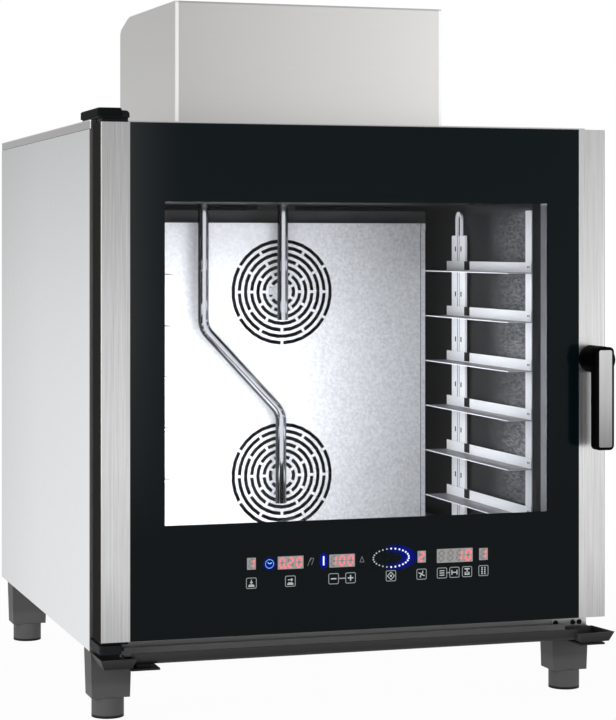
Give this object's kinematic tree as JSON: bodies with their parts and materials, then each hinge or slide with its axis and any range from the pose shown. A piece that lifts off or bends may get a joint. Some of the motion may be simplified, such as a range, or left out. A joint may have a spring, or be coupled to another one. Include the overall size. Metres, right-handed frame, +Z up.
{
  "type": "convection oven",
  "caption": "Countertop bakery convection oven with a glass touch-panel door, tray racks, fan grilles, a drip tray and a flue box on top.",
  "frame": {"origin": "on the floor under the middle of the whole oven's box", "axes": "+X to the right seen from the front, +Y to the back, +Z up"},
  "size_m": [0.88, 0.967, 1.1726],
  "materials": {
    "brushed_stainless": "satin",
    "cavity_stainless": "satin",
    "bright_pipe": "polished",
    "burner_metal": "matte",
    "cast_motor": "matte",
    "cast_light_alloy": "matte",
    "bar_light_alloy": "satin",
    "black_moulding": "satin",
    "dark_grey_moulding": "matte",
    "foot_grey": "matte",
    "outer_pane": "gloss",
    "inner_pane": "gloss",
    "seal_rubber": "matte",
    "mineral_wool": "matte",
    "circuit_board": "satin",
    "brass_fitting": "satin"
  },
  "bodies": {
    "cabinet": {"base_pan": "brushed_stainless", "right_side_panel": "brushed_stainless", "left_side_panel": "brushed_stainless", "top_cover": "brushed_stainless", "back_panel": "brushed_stainless", "front_frame": "brushed_stainless", "cavity_liner": "cavity_stainless", "cavity_insulation": "mineral_wool", "door_gasket": "seal_rubber", "fan_deflector": "cavity_stainless", "steam_pipes": "bright_pipe", "right_rack_rails": "cavity_stainless", "left_rack_rails": "cavity_stainless", "right_rack_posts": "cavity_stainless", "left_rack_posts": "cavity_stainless", "heat_exchanger": "burner_metal", "flue_duct": "brushed_stainless", "flue_box": "brushed_stainless", "flue_box_sides": "brushed_stainless", "flue_collar": "brushed_stainless", "burner_manifold": "cast_light_alloy", "combustion_blower": "cast_light_alloy", "gas_valve": "cast_light_alloy", "gas_inlet": "brass_fitting", "water_supply": "brass_fitting", "drain_cover": "cavity_stainless", "drain_pipe": "dark_grey_moulding", "power_board": "circuit_board", "terminal_block": "black_moulding", "cable_gland": "black_moulding", "drip_tray": "dark_grey_moulding", "corner_plate": "brushed_stainless", "latch_keeper": "burner_metal", "top_hinge_arm": "burner_metal", "top_hinge_cap": "black_moulding", "hinge_pins": "bright_pipe", "lower_hinge_bracket": "black_moulding", "foot_sockets": "foot_grey", "lower_fan_motor": "cast_motor", "upper_fan_motor": "cast_motor"},
    "door": {"door_glass": "outer_pane", "left_door_profile": "brushed_stainless", "right_door_profile": "brushed_stainless", "door_rails": "brushed_stainless", "inner_door_frame": "black_moulding", "inner_door_glass": "inner_pane", "glass_spacers": "bar_light_alloy", "touch_board": "black_moulding", "hinge_bearings": "black_moulding"},
    "handle": {"handle_lever": "black_moulding", "handle_insert": "brushed_stainless", "latch_shaft": "bright_pipe"},
    "lower_fan": {"lower_fan_wheel": "cavity_stainless", "lower_fan_shaft": "bright_pipe"},
    "upper_fan": {"upper_fan_wheel": "cavity_stainless", "upper_fan_shaft": "bright_pipe"},
    "front_left_leg": {"front_left_foot": "foot_grey"},
    "front_right_leg": {"front_right_foot": "foot_grey"},
    "rear_left_leg": {"rear_left_foot": "foot_grey"},
    "rear_right_leg": {"rear_right_foot": "foot_grey"}
  },
  "joints": [
    {"name": "door_swing", "type": "hinge", "parent": "cabinet", "child": "door", "pos_m": [-0.419, -0.4035, 0.54], "axis": [0, 0, -1], "range_deg": [0, 180]},
    {"name": "handle_turn", "type": "hinge", "parent": "door", "child": "handle", "pos_m": [0.397, -0.4285, 0.5626], "axis": [0, -1, 0], "range_deg": [0, 90]},
    {"name": "lower_fan_spin", "type": "hinge", "parent": "cabinet", "child": "lower_fan", "pos_m": [0.012, 0.1315, 0.33], "axis": [0, 1, 0], "continuous": true},
    {"name": "upper_fan_spin", "type": "hinge", "parent": "cabinet", "child": "upper_fan", "pos_m": [0.012, 0.1315, 0.666], "axis": [0, 1, 0], "continuous": true},
    {"name": "front_left_height", "type": "slide", "parent": "cabinet", "child": "front_left_leg", "axis": [0, 0, -1], "range_m": [0, 0.02]},
    {"name": "front_right_height", "type": "slide", "parent": "cabinet", "child": "front_right_leg", "axis": [0, 0, -1], "range_m": [0, 0.02]},
    {"name": "rear_left_height", "type": "slide", "parent": "cabinet", "child": "rear_left_leg", "axis": [0, 0, -1], "range_m": [0, 0.02]},
    {"name": "rear_right_height", "type": "slide", "parent": "cabinet", "child": "rear_right_leg", "axis": [0, 0, -1], "range_m": [0, 0.02]}
  ]
}
